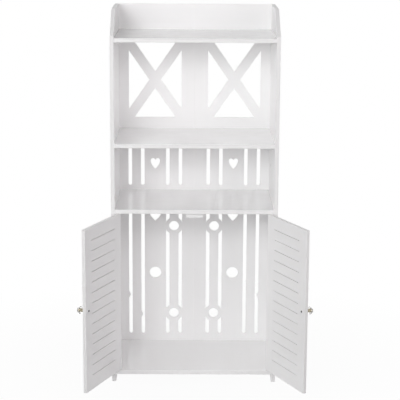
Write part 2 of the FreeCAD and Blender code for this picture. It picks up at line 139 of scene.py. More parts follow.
class ShaderTree:
    """One material's nodes, all made by one method."""

    owners = "materials"
    output_kind = "ShaderNodeOutputMaterial"
    # Places of the Mix node's colour sockets, whose names repeat.
    mix_low = 6
    mix_high = 7
    mix_result = 2

    def __init__(self, name: str) -> None:
        """Makes an empty tree.

        Args:
            name: The name of the material or world that holds it.
        """
        self.owner = getattr(bpy.data, self.owners).new(name)
        self.owner.use_nodes = True
        self.owner.node_tree.nodes.clear()

    def node(self, kind: str, settings: dict[str, Any], sockets: dict[Any, Any]) -> bpy.types.Node:
        """Makes a node, sets it and fills its sockets.

        Args:
            kind: The node's type.
            settings: Its settings.
            sockets: Values, colours or Values for its inputs, by name or place.

        Returns:
            The node.
        """
        made = self.owner.node_tree.nodes.new(kind)
        for key, value in settings.items():
            setattr(made, key, value)
        for key, value in sockets.items():
            socket = made.inputs[key]
            if isinstance(value, Value):
                self.owner.node_tree.links.new(value.socket, socket)
            elif isinstance(value, tuple) and len(value) == 3 and socket.type == "RGBA":
                socket.default_value = (*value, 1.0)
            else:
                socket.default_value = value
        return made

    def object_place(self) -> Value:
        """Object coordinates, which stay with the piece."""
        made = self.node("ShaderNodeTexCoord", {}, {})
        return Value(self, made.outputs["Object"])

    def noise(self, scale: float, detail: float = 2.0, offset: float = 0.0) -> Value:
        """A noise of about one feature in 1 / scale metres.

        Args:
            scale: Features in a metre.
            detail: Finer layers.
            offset: A shift that makes two noises differ.

        Returns:
            The noise, from 0 to 1.
        """
        place = self.object_place()
        if offset:
            moved = self.node("ShaderNodeMapping", {}, {"Vector": place,
                                                        "Location": (offset, offset, offset)})
            place = Value(self, moved.outputs["Vector"])
        made = self.node("ShaderNodeTexNoise", {},
                         {"Vector": place, "Scale": scale, "Detail": detail})
        return Value(self, made.outputs[0])

    def along(self, direction: Vector) -> Value:
        """How far a point lies along a direction from the piece's origin.

        Args:
            direction: The direction, of length 1.

        Returns:
            The distance in metres.
        """
        made = self.node("ShaderNodeVectorMath", {"operation": "DOT_PRODUCT"},
                         {0: self.object_place(), 1: tuple(direction)})
        return Value(self, made.outputs["Value"])

    def rise(self, value: Value, start: float, end: float) -> Value:
        """A smooth rise from 0 to 1.

        Args:
            value: What it follows.
            start: Where it leaves 0.
            end: Where it reaches 1.

        Returns:
            The rise.
        """
        made = self.node("ShaderNodeMapRange", {"interpolation_type": "SMOOTHSTEP"},
                         {"Value": value, "From Min": start, "From Max": end})
        return Value(self, made.outputs["Result"])

    def between(self, factor: Value, low: Any, high: Any) -> Value:
        """A colour between two, by a factor.

        Args:
            factor: 0 gives the first colour and 1 the second.
            low: The first colour, or a Value of it.
            high: The second colour, or a Value of it.

        Returns:
            The mixed colour.
        """
        made = self.node("ShaderNodeMix", {"data_type": "RGBA"},
                         {"Factor": factor, self.mix_low: low, self.mix_high: high})
        return Value(self, made.outputs[self.mix_result])

    def bump(self, height: Value, strength: float, distance: float) -> Value:
        """A bumped normal.

        Args:
            height: The height, from 0 to 1.
            strength: How much of it shows.
            distance: The height's full size in metres.

        Returns:
            The normal.
        """
        made = self.node("ShaderNodeBump", {}, {"Height": height, "Strength": strength,
                                                "Distance": distance})
        return Value(self, made.outputs["Normal"])

    def white_where_seen(self, plain: bpy.types.Node, white: bpy.types.Node,
                         share: Any = 1.0) -> bpy.types.ID:
        """Closes the tree so that it lights as one shader and looks like a white one.

        Args:
            plain: What lights, and what falls on it.
            white: What the camera, reflections and clear pieces show.
            share: How much of the white they show.

        Returns:
            The material or world.
        """
        path = self.node("ShaderNodeLightPath", {}, {})
        seen = sum((Value(self, path.outputs[kind]) for kind in
                    ("Is Transmission Ray", "Is Glossy Ray")),
                   Value(self, path.outputs["Is Camera Ray"]))
        mixed = self.node("ShaderNodeMixShader", {}, {
            0: seen * share, 1: Value(self, plain.outputs[0]), 2: Value(self, white.outputs[0])})
        return self.close(mixed)

    def finish(self, sockets: dict[str, Any]) -> bpy.types.Material:
        """Closes the tree with a Principled shader.

        Args:
            sockets: The shader's inputs.

        Returns:
            The material.
        """
        return self.close(self.node("ShaderNodeBsdfPrincipled", {}, sockets))

    def close(self, surface: bpy.types.Node) -> bpy.types.ID:
        """Links a shader to the tree's output.

        Args:
            surface: The shader.

        Returns:
            The material or world.
        """
        self.node(self.output_kind, {}, {"Surface": Value(self, surface.outputs[0])})
        return self.owner


class WorldTree(ShaderTree):
    """The nodes of the surroundings."""

    owners = "worlds"
    output_kind = "ShaderNodeOutputWorld"


@dataclass(frozen=True)
class BoardForm:
    """Where a board's broad faces and its two long upright or front edges lie."""

    across: Vector
    middle: float
    thickness: float
    outward: Vector
    centre: float
    width: float

    @classmethod
    def of(cls, board: bpy.types.Object) -> "BoardForm":
        """Reads the form of a board from its mesh.

        Args:
            board: The board.

        Returns:
            Its form.
        """
        areas: dict[tuple[float, ...], float] = {}
        for face in board.data.polygons:
            key = tuple(round(part, 3) for part in face.normal)
            areas[key] = areas.get(key, 0.0) + face.area
        across = Vector(max(areas, key=lambda key: areas[key])).normalized()
        stands = abs(across.z) < across.xy.length
        length = Vector((0, 0, 1)) if stands else Vector((1, 0, 0))
        outward = across.cross(length).normalized()
        thick = [vertex.co.dot(across) for vertex in board.data.vertices]
        wide = [vertex.co.dot(outward) for vertex in board.data.vertices]
        return cls(across, (max(thick) + min(thick)) / 2, max(thick) - min(thick),
                   outward, (max(wide) + min(wide)) / 2, max(wide) - min(wide))


@dataclass(frozen=True)
class PaintedBoard:
    """Satin white paint under a share of clear lacquer; a board's long edges are rougher and
    darker, partly a greyer cut finish, mostly painted shade.
    """

    paint: Colour = (0.96, 0.956, 0.958)
    thin_paint: Colour = (0.94, 0.936, 0.938)
    # Edge colour: partly the greyer cut finish, mostly painted shade that darkens the front edges,
    # which the lamps light most.
    edge_paint: Colour = (0.79, 0.788, 0.788)
    roughness: float = 0.30
    roughness_spread: float = 0.10
    edge_roughness: float = 0.15
    lacquer: float = 0.0
    lacquer_roughness: float = 0.16
    cloud_scale: float = 7.0
    rub_scale: float = 28.0
    rub_shift: float = 3.1
    roller_scale: float = 520.0
    roller_height: float = 0.05 * MM
    roller_strength: float = 0.25
    arris: tuple[float, float] = (0.2 * MM, 0.9 * MM)
    edge_depth: tuple[float, float] = (0.2 * MM, 0.7 * MM)

    def build(self, name: str, form: BoardForm) -> bpy.types.Material:
        """Makes the paint of one board.

        Args:
            name: The board's name.
            form: The board's form, which says what its edges are.

        Returns:
            The material.
        """
        tree = ShaderTree(name + "_paint")
        clouds = tree.noise(self.cloud_scale, detail=3.0)
        roller = tree.noise(self.roller_scale, detail=1.0)
        rub = tree.noise(self.rub_scale, detail=4.0, offset=self.rub_shift)
        depth = form.thickness / 2 - abs(tree.along(form.across) - form.middle)
        inward = form.width / 2 - abs(tree.along(form.outward) - form.centre)
        # Mask of the long edges: there the paint is darkened, mostly as painted shade and partly
        # for the greyer cut finish.
        edge = tree.rise(depth, *self.arris) * (1.0 - tree.rise(inward, *self.edge_depth))
        broad = tree.between(clouds, self.thin_paint, self.paint)
        rough = self.roughness + (rub - 0.5) * self.roughness_spread
        return tree.finish({
            "Base Color": tree.between(edge, broad, self.edge_paint),
            "Roughness": rough + edge * self.edge_roughness,
            "Coat Weight": self.lacquer,
            "Coat Roughness": self.lacquer_roughness,
            "Normal": tree.bump(roller, self.roller_strength, self.roller_height),
        })


@dataclass(frozen=True)
class Metal:
    """A turned, plated or blackened metal with fine marks."""

    name: str
    bright: Colour
    dull: Colour
    roughness: float
    roughness_spread: float = 0.15
    tarnish_scale: float = 150.0
    mark_scale: float = 900.0
    mark_shift: float = 1.7
    mark_height: float = 0.01 * MM
    mark_strength: float = 0.2

    def build(self) -> bpy.types.Material:
        """Makes the material."""
        tree = ShaderTree(self.name)
        tarnish = tree.noise(self.tarnish_scale, detail=3.0)
        marks = tree.noise(self.mark_scale, offset=self.mark_shift)
        return tree.finish({
            "Base Color": tree.between(tarnish, self.dull, self.bright),
            "Metallic": 1.0,
            "Roughness": self.roughness + (marks - 0.5) * self.roughness_spread,
            "Normal": tree.bump(marks, self.mark_strength, self.mark_height),
        })


@dataclass(frozen=True)
class MouldedPlastic:
    """Moulded plastic with a fine spark-eroded texture."""

    name: str
    colour: Colour
    shade: Colour
    roughness: float
    roughness_spread: float = 0.1
    flow_scale: float = 70.0
    flow_shift: float = 2.3
    grain_scale: float = 1400.0
    grain_height: float = 0.02 * MM
    grain_strength: float = 0.3

    def build(self) -> bpy.types.Material:
        """Makes the material."""
        tree = ShaderTree(self.name)
        grain = tree.noise(self.grain_scale, detail=1.0)
        flow = tree.noise(self.flow_scale, offset=self.flow_shift)
        return tree.finish({
            "Base Color": tree.between(flow, self.shade, self.colour),
            "Roughness": self.roughness + (grain - 0.5) * self.roughness_spread,
            "Normal": tree.bump(grain, self.grain_strength, self.grain_height),
        })


@dataclass(frozen=True)
class CutAcrylic:
    """Clear cut acrylic, with faint flow marks on its polished facets."""

    tint: Colour = (0.975, 0.97, 0.96)
    haze: Colour = (0.94, 0.935, 0.92)
    ior: float = 1.49
    clearness: float = 0.95
    roughness: float = 0.02
    roughness_spread: float = 0.02
    flow_scale: float = 160.0

    def build(self) -> bpy.types.Material:
        """Makes the material."""
        tree = ShaderTree("cut_acrylic")
        flow = tree.noise(self.flow_scale)
        return tree.finish({
            "Base Color": tree.between(flow, self.haze, self.tint),
            "Roughness": self.roughness + flow * self.roughness_spread,
            "IOR": self.ior,
            "Transmission Weight": self.clearness,
        })


class Finishes:
    """Every material of the cabinet, each made once."""

    def __init__(self) -> None:
        """Makes the materials."""
        self.brass = Metal("aged_brass", bright=(0.40, 0.36, 0.26), dull=(0.26, 0.235, 0.165),
                           roughness=0.28).build()
        self.zinc = Metal("zinc_steel", bright=(0.62, 0.62, 0.60), dull=(0.48, 0.48, 0.47),
                          roughness=0.38).build()
        self.dark_steel = Metal("dark_steel", bright=(0.10, 0.10, 0.105),
                                dull=(0.06, 0.06, 0.065), roughness=0.42).build()
        self.coated_steel = MouldedPlastic("coated_steel", colour=(0.93, 0.928, 0.928),
                                           shade=(0.91, 0.908, 0.908), roughness=0.35).build()
        self.nylon = MouldedPlastic("white_nylon", colour=(0.76, 0.76, 0.74),
                                    shade=(0.72, 0.72, 0.70), roughness=0.5).build()
        self.cap_plastic = MouldedPlastic("cap_plastic", colour=(0.80, 0.80, 0.79),
                                          shade=(0.77, 0.77, 0.765), roughness=0.38).build()
        self.catch_plastic = MouldedPlastic("catch_plastic", colour=(0.84, 0.84, 0.84),
                                            shade=(0.80, 0.80, 0.80), roughness=0.35).build()
        self.ferrite = MouldedPlastic("ferrite", colour=(0.045, 0.045, 0.048),
                                      shade=(0.03, 0.03, 0.032), roughness=0.6).build()
        self.acrylic = CutAcrylic().build()


class GeometryTree:
    """A Geometry Nodes tree with named inputs, whose nodes are all made by one method."""

    def __init__(self, name: str, inputs: dict[str, str]) -> None:
        """Makes the tree with its geometry sockets.

        Args:
            name: The tree's name.
            inputs: The names of its other inputs, with their socket types.
        """
        self.group = bpy.data.node_groups.new(name, "GeometryNodeTree")
        sockets = self.group.interface
        sockets.new_socket("Geometry", in_out="INPUT", socket_type="NodeSocketGeometry")
        self.identifiers: dict[str, str] = {}
        for key, kind in inputs.items():
            made = sockets.new_socket(key, in_out="INPUT", socket_type=kind)
            self.identifiers[key] = made.identifier
        sockets.new_socket("Geometry", in_out="OUTPUT", socket_type="NodeSocketGeometry")
        self.source = self.group.nodes.new("NodeGroupInput")

    def given(self, name: str) -> bpy.types.NodeSocket:
        """One of the tree's own inputs."""
        return self.source.outputs[name]

    def node(self, kind: str, settings: dict[str, Any], sockets: dict[Any, Any]) -> bpy.types.Node:
        """Makes a node, sets it and fills its sockets.

        Args:
            kind: The node's type.
            settings: Its settings.
            sockets: Values or output sockets for its inputs, by name or place.

        Returns:
            The node.
        """
        made = self.group.nodes.new(kind)
        for key, value in settings.items():
            setattr(made, key, value)
        for key, value in sockets.items():
            if isinstance(value, bpy.types.NodeSocket):
                self.group.links.new(value, made.inputs[key])
            else:
                made.inputs[key].default_value = value
        return made

    def close(self, instances: bpy.types.NodeSocket) -> None:
        """Ends the tree in Realize Instances and Set Material.

        Args:
            instances: The geometry to end with.
        """
        real = self.node("GeometryNodeRealizeInstances", {}, {"Geometry": instances})
        dressed = self.node("GeometryNodeSetMaterial", {},
                            {"Geometry": real.outputs[0], "Material": self.given("Finish")})
        self.node("NodeGroupOutput", {}, {"Geometry": dressed.outputs[0]})

    def mesh(self, name: str, host: bpy.types.Mesh, values: dict[str, Any]) -> bpy.types.Object:
        """Runs the tree on a host mesh and keeps the result as a plain mesh.

        Args:
            name: The new object's name.
            host: The mesh that the tree starts from.
            values: Values for the tree's inputs, by name.

        Returns:
            The object, with no modifier.
        """
        piece = new_object(name, host)
        modifier = piece.modifiers.new("Build", "NODES")
        modifier.node_group = self.group
        for key, value in values.items():
            modifier[self.identifiers[key]] = value
        bpy.context.view_layer.update()
        evaluated = piece.evaluated_get(bpy.context.evaluated_depsgraph_get())
        result = bpy.data.meshes.new_from_object(evaluated)
        piece.modifiers.remove(modifier)
        piece.data = result
        return piece


def new_object(name: str, mesh: bpy.types.Mesh) -> bpy.types.Object:
    """Puts a mesh in the scene as an object at the origin.

    Args:
        name: The object's name.
        mesh: Its mesh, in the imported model's frame.

    Returns:
        The object.
    """
    made = bpy.data.objects.new(name, mesh)
    bpy.context.scene.collection.objects.link(made)
    return made


def mesh_from(name: str, draw: Callable[[bmesh.types.BMesh], None]) -> bpy.types.Mesh:
    """Makes a mesh with outward faces.

    Args:
        name: The mesh's name.
        draw: A function that adds the faces.

    Returns:
        The mesh.
    """
    built = bmesh.new()
    draw(built)
    bmesh.ops.recalc_face_normals(built, faces=built.faces)
    mesh = bpy.data.meshes.new(name)
    built.to_mesh(mesh)
    built.free()
    return mesh


def smooth_below(mesh: bpy.types.Mesh, angle: float) -> None:
    """Shades a mesh smooth, with its edges sharper than an angle kept sharp.

    Args:
        mesh: The mesh.
        angle: The angle in degrees.
    """
    built = bmesh.new()
    built.from_mesh(mesh)
    for face in built.faces:
        face.smooth = True
    for edge in built.edges:
        edge.smooth = edge.calc_face_angle(math.pi) < math.radians(angle)
    built.to_mesh(mesh)
    built.free()


def places_of(node: bpy.types.Object) -> list[Vector]:
    """The places of a node's vertices, each once."""
    seen: dict[tuple[int, ...], Vector] = {}
    for vertex in node.data.vertices:
        key = tuple(round(part / SAME_PLACE) for part in vertex.co)
        seen.setdefault(key, vertex.co.copy())
    return list(seen.values())


def centre_of(places: list[Vector]) -> Vector:
    """The mean of some places."""
    return sum(places, Vector()) / len(places)


def groups_of(places: list[Vector], reach: float) -> list[list[Vector]]:
    """Splits places into groups that lie apart.

    Args:
        places: The places.
        reach: The furthest that a group's member lies from its first.

    Returns:
        The groups.
    """
    groups: list[list[Vector]] = []
    for place in places:
        for group in groups:
            if (place - group[0]).length < reach:
                group.append(place)
                break
        else:
            groups.append([place])
    return groups


def dress(piece: bpy.types.Object, finish: bpy.types.Material) -> None:
    """Gives a piece one finish.

    Args:
        piece: The piece.
        finish: Its material.
    """
    piece.data.materials.clear()
    piece.data.materials.append(finish)


@dataclass(frozen=True)
class Axis:
    """A level line that a turned piece is built about."""

    start: Vector
    along: Vector

    def matrix(self) -> Matrix:
        """Turns and moves a shape built on +Z from the origin on to the line."""
        across = self.along.cross(Vector((0, 0, 1))).normalized()
        third = self.along.cross(across)
        turn = Matrix((across, third, self.along)).transposed()
        return Matrix.Translation(self.start) @ turn.to_4x4()


@dataclass(frozen=True)
class Turning:
    """A body of revolution, from its radii and heights in order along the outline."""

    outline: tuple[tuple[float, float], ...]
    segments: int

    def draw(self, built: bmesh.types.BMesh) -> None:
        """Adds the turned faces, closed at both ends.

        Args:
            built: The mesh to add to.
        """
        rings = [self._ring(built, radius, height) for radius, height in self.outline]
        for lower, upper in zip(rings, rings[1:]):
            for step in range(self.segments):
                after = (step + 1) % self.segments
                built.faces.new((lower[step], lower[after], upper[after], upper[step]))
        built.faces.new(rings[0])
        built.faces.new(rings[-1])

    def _ring(self, built: bmesh.types.BMesh, radius: float, height: float) -> list[Any]:
        """One ring of vertices."""
        turn = 2 * math.pi / self.segments
        return [built.verts.new((radius * math.cos(turn * step), radius * math.sin(turn * step),
                                 height)) for step in range(self.segments)]


class Head(Enum):
    """Outlines of screw heads, as shares of the head's radius and height from its top."""

    COUNTERSUNK = ((1.0, 0.0),)
    DOMED = ((0.8, 0.0), (0.95, 0.25), (1.0, 0.5), (1.0, 1.0))


@dataclass(frozen=True)
class CrossHeadScrew:
    """A screw with a crossed recess in its head, built head up with its top at the origin."""

    head: Head
    head_radius: float
    head_height: float
    shank_radius: float
    length: float
    rim: int = 32
    recess_share: float = 0.62
    recess_floor_share: float = 0.6
    recess_depth_share: float = 0.75
    wing_share: float = 0.15

    def draw(self, built: bmesh.types.BMesh) -> None:
        """Adds the screw's faces.

        Args:
            built: The mesh to add to.
        """
        rings = [self._circle(built, radius * self.head_radius, -depth * self.head_height)
                 for radius, depth in self.head.value]
        rings.append(self._circle(built, self.shank_radius, -self.head_height))
        rings.append(self._circle(built, self.shank_radius, -self.length))
        for upper, lower in zip(rings, rings[1:]):
            for step in range(self.rim):
                after = (step + 1) % self.rim
                built.faces.new((upper[step], upper[after], lower[after], lower[step]))
        built.faces.new(rings[-1])
        self._recess(built, rings[0])

    def _circle(self, built: bmesh.types.BMesh, radius: float, height: float) -> list[Any]:
        """One ring of vertices."""
        turn = 2 * math.pi / self.rim
        return [built.verts.new((radius * math.cos(turn * step), radius * math.sin(turn * step),
                                 height)) for step in range(self.rim)]

    def _cross(self, built: bmesh.types.BMesh, share: float, height: float) -> list[Any]:
        """The twelve corners of a cross, at a height."""
        wing = self.head_radius * self.wing_share
        reach = self.head_radius * self.recess_share * share
        arm = [(reach, -wing), (reach, wing), (wing, wing)]
        corners = []
        for quarter in range(4):
            turn = Matrix.Rotation(quarter * math.pi / 2, 2)
            corners += [turn @ Vector(corner) for corner in arm]
        return [built.verts.new((corner.x, corner.y, height)) for corner in corners]

    def _recess(self, built: bmesh.types.BMesh, top: list[Any]) -> None:
        """Sinks the cross into the head's top."""
        depth = self.head_height * self.recess_depth_share
        mouth = self._cross(built, 1.0, 0.0)
        floor = self._cross(built, self.recess_floor_share, -depth)
        edges = [built.edges.get(pair) for pair in zip(top, top[1:] + top[:1])]
        edges += [built.edges.new(pair) for pair in zip(mouth, mouth[1:] + mouth[:1])]
        bmesh.ops.triangle_fill(built, use_beauty=True, edges=edges, normal=(0, 0, 1))
        for step in range(len(mouth)):
            after = (step + 1) % len(mouth)
            built.faces.new((mouth[step], mouth[after], floor[after], floor[step]))
        built.faces.new(floor)


class Scatter:
    """Puts copies of one small part at many places, each turned at random about its axis."""

    def __init__(self) -> None:
        """Makes the tree."""
        self.tree = GeometryTree("scatter", {
            "Part": "NodeSocketObject", "Facing": "NodeSocketRotation",
            "Most Turn": "NodeSocketFloat", "Seed": "NodeSocketInt",
            "Finish": "NodeSocketMaterial"})
        tree = self.tree
        part = tree.node("GeometryNodeObjectInfo", {"transform_space": "ORIGINAL"},
                         {"Object": tree.given("Part")})
        placed = tree.node("GeometryNodeInstanceOnPoints", {},
                           {"Points": tree.given("Geometry"),
                            "Instance": part.outputs["Geometry"],
                            "Rotation": tree.given("Facing")})
        spin = tree.node("FunctionNodeRandomValue", {"data_type": "FLOAT"},
                         {"Max": tree.given("Most Turn"), "Seed": tree.given("Seed")})
        about = tree.node("FunctionNodeAxisAngleToRotation", {},
                          {"Axis": (0.0, 0.0, 1.0), "Angle": spin.outputs["Value"]})
        turned = tree.node("GeometryNodeRotateInstances", {},
                           {"Instances": placed.outputs[0],
                            "Rotation": about.outputs["Rotation"], "Local Space": True})
        tree.close(turned.outputs[0])

    def place(self, name: str, part: bpy.types.Mesh, places: list[Vector], facing: Vector,
              most_turn: float, seed: int, finish: bpy.types.Material) -> bpy.types.Object:
        """Puts the part at the places.

        Args:
            name: The new object's name.
            part: The part's mesh, built facing +Z.
            places: Where the copies go.
            facing: The direction that the part's +Z takes.
            most_turn: The most that a copy turns about its own axis, in radians.
            seed: The seed of those turns.
            finish: The copies' material.

        Returns:
            The object that holds every copy.
        """
        master = new_object(name + "_master", part)
        host = bpy.data.meshes.new(name)
        host.from_pydata(places, [], [])
        turn = facing.to_track_quat("Z", "Y").to_euler()
        piece = self.tree.mesh(name, host, {"Part": master, "Facing": turn,
                                            "Most Turn": most_turn, "Seed": seed,
                                            "Finish": finish})
        bpy.data.objects.remove(master)
        return piece


@dataclass
class Boards:
    """The carcass boards, backs and door panels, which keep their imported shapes."""

    floors: tuple[str, ...] = ("bottom_board",)
    shelves: tuple[str, ...] = ("cupboard_top", "middle_shelf", "top_shelf")
    walls: tuple[str, ...] = ("left_side_panel", "right_side_panel", "left_back_panel",
                              "right_back_panel")
    doors: tuple[str, ...] = ("left_door", "right_door")
    # Painted light by kind: the floor board and shelves get lighter paint than the walls, a lit
    # copy standing in for light their tops lack. Each kind's edge colour is its own painted shade:
    # darkest on the doors, lightest on the floor board, whose edge colour also reaches over its
    # arris to dim the highlight there.
    floor_paint: PaintedBoard = PaintedBoard(paint=(0.97, 0.966, 0.968),
                                             thin_paint=(0.96, 0.956, 0.958),
                                             edge_paint=(0.85, 0.848, 0.848), roughness=0.22,
                                             lacquer=0.6, arris=(0.0, 0.5 * MM))
    shelf_paint: PaintedBoard = PaintedBoard(paint=(0.97, 0.966, 0.968),
                                             thin_paint=(0.95, 0.946, 0.948),
                                             edge_paint=(0.815, 0.813, 0.813), roughness=0.22,
                                             lacquer=0.6)
    wall_paint: PaintedBoard = PaintedBoard()
    door_paint: PaintedBoard = PaintedBoard(edge_paint=(0.765, 0.763, 0.763))

    def build(self, nodes: dict[str, bpy.types.Object]) -> None:
        """Paints each board, which has edges of its own.

        Args:
            nodes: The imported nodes, by name.
        """
        for names, paint in ((self.floors, self.floor_paint), (self.shelves, self.shelf_paint),
                             (self.walls, self.wall_paint), (self.doors, self.door_paint)):
            for name in names:
                form = BoardForm.of(nodes[name])
                dress(nodes[name], paint.build(name, form))
                LOG.info("%s: painted, %.1f mm thick", name, form.thickness / MM)


@dataclass
class Fittings:
    """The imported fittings, each dressed by the ending of its node's name."""

    finishes: Finishes

    def build(self, nodes: dict[str, bpy.types.Object]) -> None:
        """Dresses the fittings.

        Args:
            nodes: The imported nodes, by name.
        """
        finishes = self.finishes
        by_ending = {
            "shelf_screws": finishes.zinc, "back_screws": finishes.zinc,
            "catch_screws": finishes.zinc, "_pin": finishes.zinc, "_bush": finishes.nylon,
            "_strike": finishes.coated_steel, "catch_magnets": finishes.ferrite,
            "catch_housing": finishes.catch_plastic, "screw_caps": finishes.cap_plastic,
            "knob_base": finishes.brass, "knob_cap": finishes.acrylic,
            "knob_screw": finishes.dark_steel,
        }
        for name, node in nodes.items():
            for ending, finish in by_ending.items():
                if name.endswith(ending):
                    dress(node, finish)
                    LOG.info("%s: %s", name, finish.name)


@dataclass
class ScrewCaps:
    """Low domed caps over the screws in the side panels."""

    radius: float = 6.0 * MM
    thickness: float = 1.0 * MM
    rim_share: float = 0.45
    crown_share: float = 0.02
    dome_steps: int = 6
    segments: int = 32
    smooth_angle: float = 50.0
    reach: float = 24.0 * MM
    most_turn: float = 0.0
    seed: int = 1

    def _draw(self, built: bmesh.types.BMesh) -> None:
        """Adds one cap that faces +Z from the origin."""
        rim = self.thickness * self.rim_share
        dome = self.thickness - rim
        outline = [(self.radius, 0.0), (self.radius, rim)]
        for step in range(1, self.dome_steps + 1):
            lean = step / self.dome_steps * math.pi / 2
            share = max(math.cos(lean), self.crown_share)
            outline.append((self.radius * share, rim + dome * math.sin(lean)))
        Turning(tuple(outline), self.segments).draw(built)

    def build(self, nodes: dict[str, bpy.types.Object], scatter: Scatter,
              finishes: Finishes) -> None:
        """Puts the caps on both side panels.

        Args:
            nodes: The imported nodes, by name.
            scatter: What places the copies.
            finishes: The cabinet's materials.
        """
        for side in Side:
            name = side.word + "_screw_caps"
            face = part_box(side.word + "_side_panel")[0 if side is Side.LEFT else 1].x
            middles = map(centre_of, groups_of(places_of(nodes[name]), self.reach))
            places = [Vector((face, middle.y, middle.z)) for middle in middles]
            part = mesh_from("cap", self._draw)
            smooth_below(part, self.smooth_angle)
            piece = scatter.place(side.word + "_cap_set", part, places,
                                  Vector((side.value, 0, 0)), self.most_turn, self.seed,
                                  finishes.cap_plastic)
            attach(piece, CARCASS)
            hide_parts(name)
            LOG.info("%s: %d caps", piece.name, len(places))


@dataclass
class BackScrews:
    """Countersunk cross-head screws, flush with the back."""

    head_radius: float = 3.0 * MM
    head_height: float = 1.8 * MM
    shank_radius: float = 1.5 * MM
    length: float = 20.0 * MM
    smooth_angle: float = 35.0
    reach: float = 30.0 * MM
    most_turn: float = math.pi
    seed: int = 7

    def build(self, nodes: dict[str, bpy.types.Object], scatter: Scatter,
              finishes: Finishes) -> None:
        """Puts the screws in both back panels.

        Args:
            nodes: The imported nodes, by name.
            scatter: What places the copies.
            finishes: The cabinet's materials.
        """
        screw = CrossHeadScrew(Head.COUNTERSUNK, self.head_radius, self.head_height,
                               self.shank_radius, self.length)
        for side in Side:
            name = side.word + "_back_screws"
            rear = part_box(name)[1].y
            middles = map(centre_of, groups_of(places_of(nodes[name]), self.reach))
            places = [Vector((middle.x, rear, middle.z)) for middle in middles]
            part = mesh_from("back_screw", screw.draw)
            smooth_below(part, self.smooth_angle)
            piece = scatter.place(side.word + "_back_screw_set", part, places,
                                  Vector((0, 1, 0)), self.most_turn, self.seed + side.value,
                                  finishes.zinc)
            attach(piece, CARCASS)
            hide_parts(name)
            LOG.info("%s: %d screws", piece.name, len(places))


